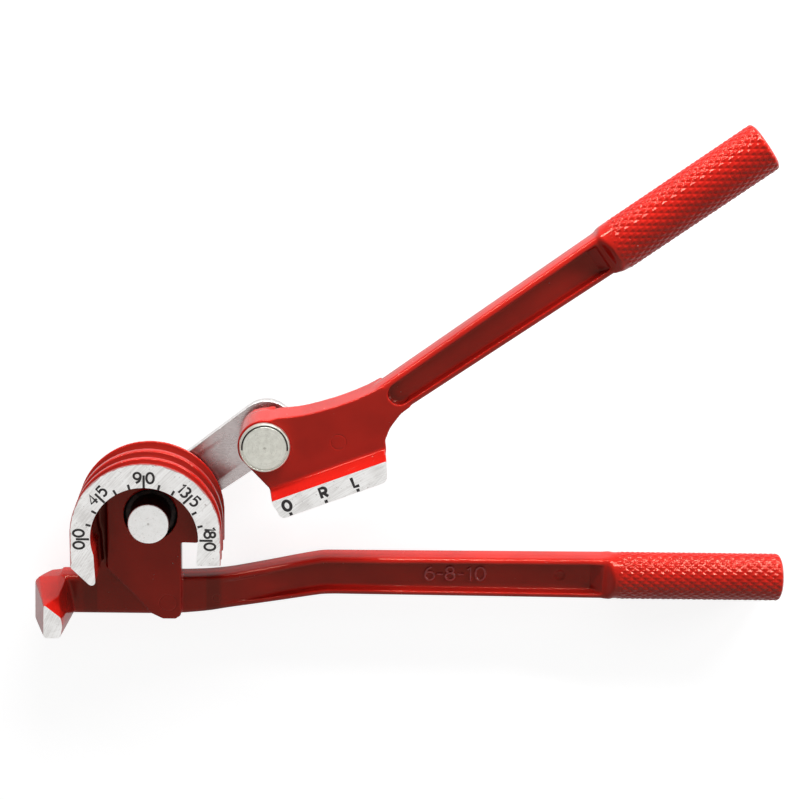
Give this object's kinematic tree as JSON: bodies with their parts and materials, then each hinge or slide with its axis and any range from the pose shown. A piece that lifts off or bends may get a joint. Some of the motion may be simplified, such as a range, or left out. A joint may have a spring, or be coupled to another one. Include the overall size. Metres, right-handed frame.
{
  "type": "tube bender",
  "caption": "Hand lever tube bender lying open on its back: a grooved half-round forming wheel with a scale, a hook, a grooved shoe on a pinned link, and two round-gripped handles.",
  "frame": {"origin": "centre of the back end of the forming wheel's pin, on the wheel's axis and on the surface that the tool lies on", "axes": "+Z along both hinge axes, out of the wheel's scale face; +X along the lower handle towards its grip; +Y towards the top of the wheel, where the 90 degree mark is"},
  "size_m": [0.3375, 0.2303, 0.0459],
  "materials": {
    "paint": "gloss enamel over die casting, with bare milled faces",
    "link_steel": "satin",
    "pin_steel": "satin, turned",
    "washer_steel": "satin, dark",
    "ring_steel": "satin, dark"
  },
  "bodies": {
    "base": {"former_casting": "paint", "former_pin": "pin_steel", "former_thrust_washer": "washer_steel", "former_clip_washer": "washer_steel", "former_retaining_ring": "ring_steel"},
    "link": {"link_plate": "link_steel", "lever_pin": "pin_steel", "lever_thrust_washer": "washer_steel", "lever_clip_washer": "washer_steel", "lever_retaining_ring": "ring_steel"},
    "lever": {"lever_casting": "paint"}
  },
  "joints": [
    {"name": "link_swing", "type": "hinge", "parent": "base", "child": "link", "pos_m": [0, 0, 0], "axis": [0, 0, 1], "range_deg": [-5, 143]},
    {"name": "lever_swing", "type": "hinge", "parent": "link", "child": "lever", "pos_m": [0.05095, 0.0384, 0], "axis": [0, 0, 1], "range_deg": [-74.3, 100]}
  ]
}
